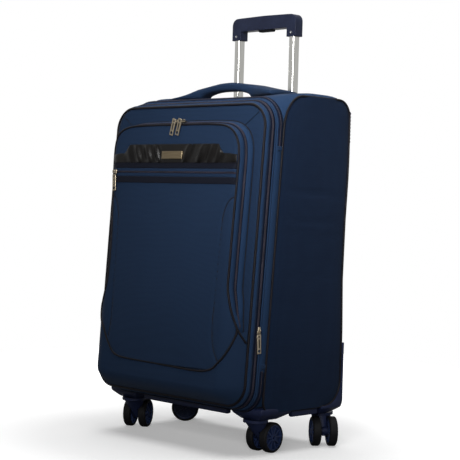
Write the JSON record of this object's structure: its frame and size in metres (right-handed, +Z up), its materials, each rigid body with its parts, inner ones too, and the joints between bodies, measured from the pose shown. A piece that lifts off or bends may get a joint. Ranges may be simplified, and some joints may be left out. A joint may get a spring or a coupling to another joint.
{
  "type": "softside upright suitcase",
  "caption": "Softside upright suitcase with expandable zip-opening front, padded front pocket, top carry handle, telescopic grip handle and swivel casters.",
  "frame": {"origin": "middle of the bounding box, at floor level", "axes": "+Z up, front pocket towards -Y, +X to the right when facing the front"},
  "size_m": [0.4573, 0.3068, 0.843],
  "materials": {
    "navy_fabric": "woven polyester, navy",
    "navy_fabric_dark": "woven polyester, darker navy",
    "dark_trim": "piping and zip tape, near black",
    "black_pu": "glossy gathered leather-look strip",
    "navy_plastic": "moulded navy plastic, satin",
    "black_plastic": "moulded black plastic",
    "tyre_black": "soft black tyre",
    "tube_aluminium": "polished",
    "steel": "plain steel",
    "bronze_metal": "pale brushed bronze plate"
  },
  "bodies": {
    "case": {"back_panel": "navy_fabric_dark", "side_left": "navy_fabric", "side_right": "navy_fabric", "top_panel": "navy_fabric", "bottom_board": "navy_fabric_dark", "front_gusset": "navy_fabric", "side_piping": "dark_trim", "trolley_tray": "black_plastic", "top_bezel": "navy_plastic", "ribbed_guard": "navy_plastic", "corner_guards": "navy_plastic", "base_rails": "navy_plastic", "carry_handle": "navy_fabric", "handle_plates": "steel", "fabric_tabs": "navy_fabric", "caster_housings": "navy_plastic", "swivel_pins": "steel", "outer_tubes": "steel", "packing_straps": "navy_fabric_dark"},
    "expansion_slider": {"expansion_slider": "bronze_metal"},
    "front_frame": {"frame_band": "navy_fabric_dark", "main_tape_frame": "dark_trim", "expansion_gusset": "navy_fabric_dark"},
    "lid": {"lid_panel": "navy_fabric", "lid_gusset": "navy_fabric", "lid_piping": "dark_trim", "main_tape_lid": "dark_trim", "hinge_strip": "navy_fabric", "pocket_body": "navy_fabric", "pocket_piping": "dark_trim", "pocket_zip": "dark_trim", "ribbons": "dark_trim", "upper_zip": "dark_trim", "pu_strip": "black_pu", "nameplate": "bronze_metal"},
    "main_slider": {"main_slider": "bronze_metal"},
    "main_pull": {"main_pull": "bronze_metal"},
    "pocket_slider_left": {"pocket_slider_left": "bronze_metal"},
    "pocket_pull_left": {"pocket_pull_left": "bronze_metal"},
    "pocket_slider_right": {"pocket_slider_right": "bronze_metal"},
    "pocket_pull_right": {"pocket_pull_right": "bronze_metal"},
    "upper_slider": {"upper_slider": "bronze_metal"},
    "upper_pull": {"upper_pull": "bronze_metal"},
    "middle_stage": {"middle_tubes": "tube_aluminium"},
    "top_stage": {"inner_tubes": "tube_aluminium", "grip": "navy_plastic", "grip_screws": "bronze_metal"},
    "grip_button": {"grip_button": "black_plastic"},
    "caster_fl": {"caster_fl_fork": "navy_plastic"},
    "wheels_fl": {"caster_fl_hubs": "navy_plastic", "caster_fl_tyres": "tyre_black"},
    "caster_fr": {"caster_fr_fork": "navy_plastic"},
    "wheels_fr": {"caster_fr_hubs": "navy_plastic", "caster_fr_tyres": "tyre_black"},
    "caster_rl": {"caster_rl_fork": "navy_plastic"},
    "wheels_rl": {"caster_rl_hubs": "navy_plastic", "caster_rl_tyres": "tyre_black"},
    "caster_rr": {"caster_rr_fork": "navy_plastic"},
    "wheels_rr": {"caster_rr_hubs": "navy_plastic", "caster_rr_tyres": "tyre_black"}
  },
  "joints": [
    {"name": "expansion", "type": "slide", "parent": "case", "child": "front_frame", "axis": [0, -0.9976, 0.0689], "range_m": [0, 0.04], "deforming": ["expansion_gusset"]},
    {"name": "expansion_zip", "type": "slide", "parent": "case", "child": "expansion_slider", "axis": [0, 0.0689, 0.9976], "range_m": [-0.15, 0.12]},
    {"name": "lid_hinge", "type": "hinge", "parent": "front_frame", "child": "lid", "pos_m": [-0.212, -0.0852, 0.36885], "axis": [0, -0.0689, -0.9976], "range_deg": [0, 170], "deforming": ["hinge_strip"]},
    {"name": "main_zip", "type": "slide", "parent": "front_frame", "child": "main_slider", "axis": [0, 0.0689, 0.9976], "range_m": [-0.07, 0.33]},
    {"name": "main_pull_hinge", "type": "hinge", "parent": "main_slider", "child": "main_pull", "pos_m": [0.213, -0.09499, 0.22702], "axis": [0, -0.9976, 0.0689], "range_deg": [0, 105]},
    {"name": "pocket_zip_left", "type": "slide", "parent": "lid", "child": "pocket_slider_left", "axis": [1, 0, 0], "range_m": [-0.13, 0]},
    {"name": "pocket_zip_right", "type": "slide", "parent": "lid", "child": "pocket_slider_right", "axis": [1, 0, 0], "range_m": [0, 0.13]},
    {"name": "pocket_pull_left_hinge", "type": "hinge", "parent": "pocket_slider_left", "child": "pocket_pull_left", "pos_m": [-0.0045, -0.11184, 0.61819], "axis": [-1, 0, 0], "range_deg": [0, 95]},
    {"name": "pocket_pull_right_hinge", "type": "hinge", "parent": "pocket_slider_right", "child": "pocket_pull_right", "pos_m": [0.0115, -0.11184, 0.61819], "axis": [-1, 0, 0], "range_deg": [0, 95]},
    {"name": "upper_zip_slide", "type": "slide", "parent": "lid", "child": "upper_slider", "axis": [1, 0, 0], "range_m": [0, 0.31]},
    {"name": "upper_pull_hinge", "type": "hinge", "parent": "upper_slider", "child": "upper_pull", "pos_m": [-0.162, -0.13133, 0.51443], "axis": [-1, 0, 0], "range_deg": [0, 65]},
    {"name": "handle_lower_stage", "type": "slide", "parent": "case", "child": "middle_stage", "axis": [0, 0, 1], "range_m": [0, 0.165]},
    {"name": "handle_upper_stage", "type": "slide", "parent": "middle_stage", "child": "top_stage", "axis": [0, 0, 1], "range_m": [-0.115, 0.06]},
    {"name": "grip_push", "type": "slide", "parent": "top_stage", "child": "grip_button", "axis": [0, 0, 1], "range_m": [0, 0.003], "stiffness_N_per_m": 400, "springref_m": -0.001},
    {"name": "swivel_fl", "type": "hinge", "parent": "case", "child": "caster_fl", "pos_m": [-0.172, -0.0546, 0.0605], "axis": [0, 0, 1], "continuous": true},
    {"name": "roll_fl", "type": "hinge", "parent": "caster_fl", "child": "wheels_fl", "pos_m": [-0.18557, -0.03011, 0.0285], "axis": [-0.8746, -0.4848, 0], "continuous": true},
    {"name": "swivel_fr", "type": "hinge", "parent": "case", "child": "caster_fr", "pos_m": [0.172, -0.0546, 0.0605], "axis": [0, 0, 1], "continuous": true},
    {"name": "roll_fr", "type": "hinge", "parent": "caster_fr", "child": "wheels_fr", "pos_m": [0.16936, -0.02672, 0.0285], "axis": [-0.9956, -0.0941, 0], "continuous": true},
    {"name": "swivel_rr", "type": "hinge", "parent": "case", "child": "caster_rr", "pos_m": [0.172, 0.1284, 0.0605], "axis": [0, 0, 1], "continuous": true},
    {"name": "roll_rr", "type": "hinge", "parent": "caster_rr", "child": "wheels_rr", "pos_m": [0.19439, 0.11159, 0.0285], "axis": [0.6004, 0.7997, 0], "continuous": true},
    {"name": "swivel_rl", "type": "hinge", "parent": "case", "child": "caster_rl", "pos_m": [-0.172, 0.1284, 0.0605], "axis": [0, 0, 1], "continuous": true},
    {"name": "roll_rl", "type": "hinge", "parent": "caster_rl", "child": "wheels_rl", "pos_m": [-0.1918, 0.1086, 0.0285], "axis": [0.7071, -0.7071, 0], "continuous": true}
  ]
}
